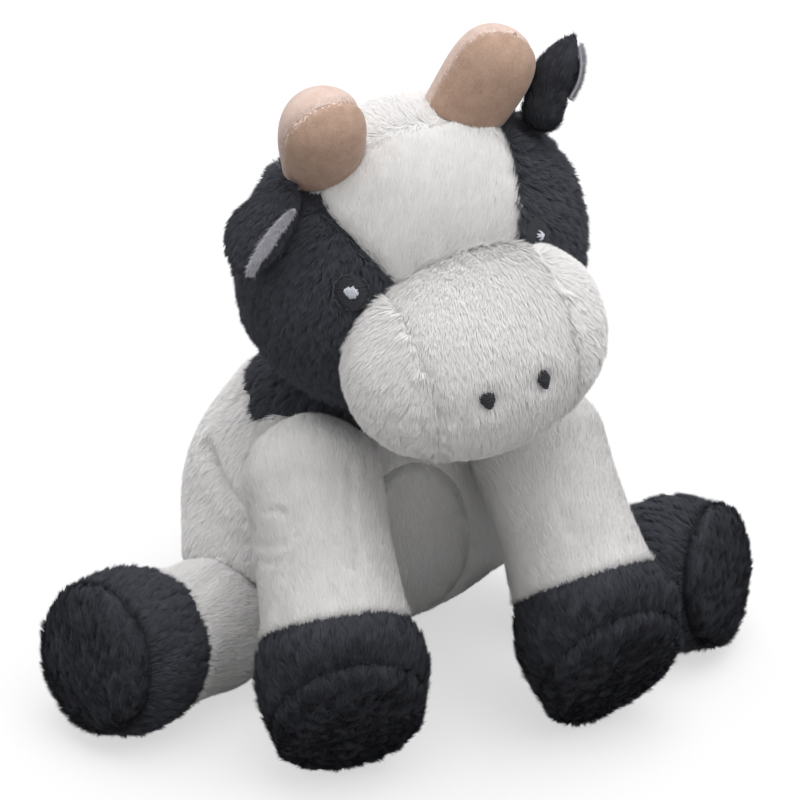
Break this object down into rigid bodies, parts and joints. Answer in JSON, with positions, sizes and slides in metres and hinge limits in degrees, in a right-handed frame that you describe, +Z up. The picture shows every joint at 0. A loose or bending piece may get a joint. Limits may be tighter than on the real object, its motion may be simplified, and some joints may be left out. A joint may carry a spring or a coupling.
{
  "type": "plush cow",
  "caption": "Sitting plush cow in white and black pile fabric, with suede horns, a tilted head that turns and nods, and legs, ears and a tail that swing at their seams.",
  "frame": {"origin": "on the ground, under the middle of the toy's bounding box", "axes": "+Z is up, the cow faces -Y, and its own left is +X"},
  "size_m": [0.2569, 0.2338, 0.2387],
  "materials": {
    "white_plush": "matt pile, about 4 mm long",
    "black_plush": "matt pile, about 4 mm long",
    "horn_suede": "short-napped suede cloth",
    "ear_lining": "short pile",
    "black_thread": "embroidery thread with a slight sheen",
    "white_thread": "embroidery thread with a slight sheen",
    "fibre_filling": "loose polyester fibre",
    "pouch_cloth": "plain woven cloth"
  },
  "bodies": {
    "body": {"body_panel_right": "white_plush", "body_panel_left": "white_plush", "belly_panel": "white_plush", "saddle_patch": "black_plush", "body_filling": "fibre_filling", "bean_pouch": "pouch_cloth"},
    "neck": {"neck_band": "black_plush"},
    "head": {"forehead_panel": "white_plush", "crown_panel": "white_plush", "cheek_right": "black_plush", "cheek_left": "black_plush", "muzzle_gusset": "white_plush", "muzzle_side_right": "white_plush", "muzzle_side_left": "white_plush", "head_filling": "fibre_filling", "eye_right": "black_thread", "eye_left": "black_thread", "eye_glint_right": "white_thread", "eye_glint_left": "white_thread", "nostril_right": "black_thread", "nostril_left": "black_thread", "horn_right_front": "horn_suede", "horn_right_back": "horn_suede", "horn_right_filling": "fibre_filling", "horn_left_front": "horn_suede", "horn_left_back": "horn_suede", "horn_left_filling": "fibre_filling"},
    "right_ear": {"ear_right": "black_plush", "ear_right_lining": "ear_lining"},
    "left_ear": {"ear_left": "black_plush", "ear_left_lining": "ear_lining"},
    "front_right_leg": {"front_leg_right_sleeve": "white_plush", "front_leg_right_hoof": "black_plush", "front_leg_right_sole": "black_plush", "front_leg_right_filling": "fibre_filling"},
    "front_left_leg": {"front_leg_left_sleeve": "white_plush", "front_leg_left_hoof": "black_plush", "front_leg_left_sole": "black_plush", "front_leg_left_filling": "fibre_filling"},
    "hind_right_leg": {"hind_leg_right_sleeve": "white_plush", "hind_leg_right_hoof": "black_plush", "hind_leg_right_sole": "black_plush", "hind_leg_right_filling": "fibre_filling"},
    "hind_left_leg": {"hind_leg_left_sleeve": "white_plush", "hind_leg_left_hoof": "black_plush", "hind_leg_left_sole": "black_plush", "hind_leg_left_filling": "fibre_filling"},
    "tail_with_tuft": {"tail": "white_plush", "tail_tuft": "black_plush"}
  },
  "joints": [
    {"name": "neck_turn", "type": "hinge", "parent": "body", "child": "neck", "pos_m": [0, 0.0003, 0.0842], "axis": [0, 0, 1], "range_deg": [-15, 15]},
    {"name": "head_nod", "type": "hinge", "parent": "neck", "child": "head", "pos_m": [0, 0.0003, 0.0842], "axis": [1, 0, 0], "range_deg": [-20, 2]},
    {"name": "ear_right_flop", "type": "hinge", "parent": "head", "child": "right_ear", "pos_m": [-0.0504, -0.0589, 0.1917], "axis": [-0.0401, 0.9992, 0], "range_deg": [0, 50]},
    {"name": "ear_left_flop", "type": "hinge", "parent": "head", "child": "left_ear", "pos_m": [0.037, -0.0538, 0.2078], "axis": [-0.0401, 0.9992, 0], "range_deg": [-4, 90]},
    {"name": "front_leg_right_swing", "type": "hinge", "parent": "body", "child": "front_right_leg", "pos_m": [-0.0404, -0.0503, 0.0877], "axis": [1, 0, 0], "range_deg": [-60, 5]},
    {"name": "front_leg_left_swing", "type": "hinge", "parent": "body", "child": "front_left_leg", "pos_m": [0.0404, -0.0503, 0.0877], "axis": [1, 0, 0], "range_deg": [-60, 5]},
    {"name": "hind_leg_right_spread", "type": "hinge", "parent": "body", "child": "hind_right_leg", "pos_m": [-0.0684, -0.0184, 0.0217], "axis": [0, 0, 1], "range_deg": [-25, 16]},
    {"name": "hind_leg_left_spread", "type": "hinge", "parent": "body", "child": "hind_left_leg", "pos_m": [0.0684, -0.0184, 0.0217], "axis": [0, 0, 1], "range_deg": [-8, 35]},
    {"name": "tail_swing", "type": "hinge", "parent": "body", "child": "tail_with_tuft", "pos_m": [0, 0.0731, 0.0707], "axis": [0, 0, 1], "range_deg": [-30, 30]}
  ]
}
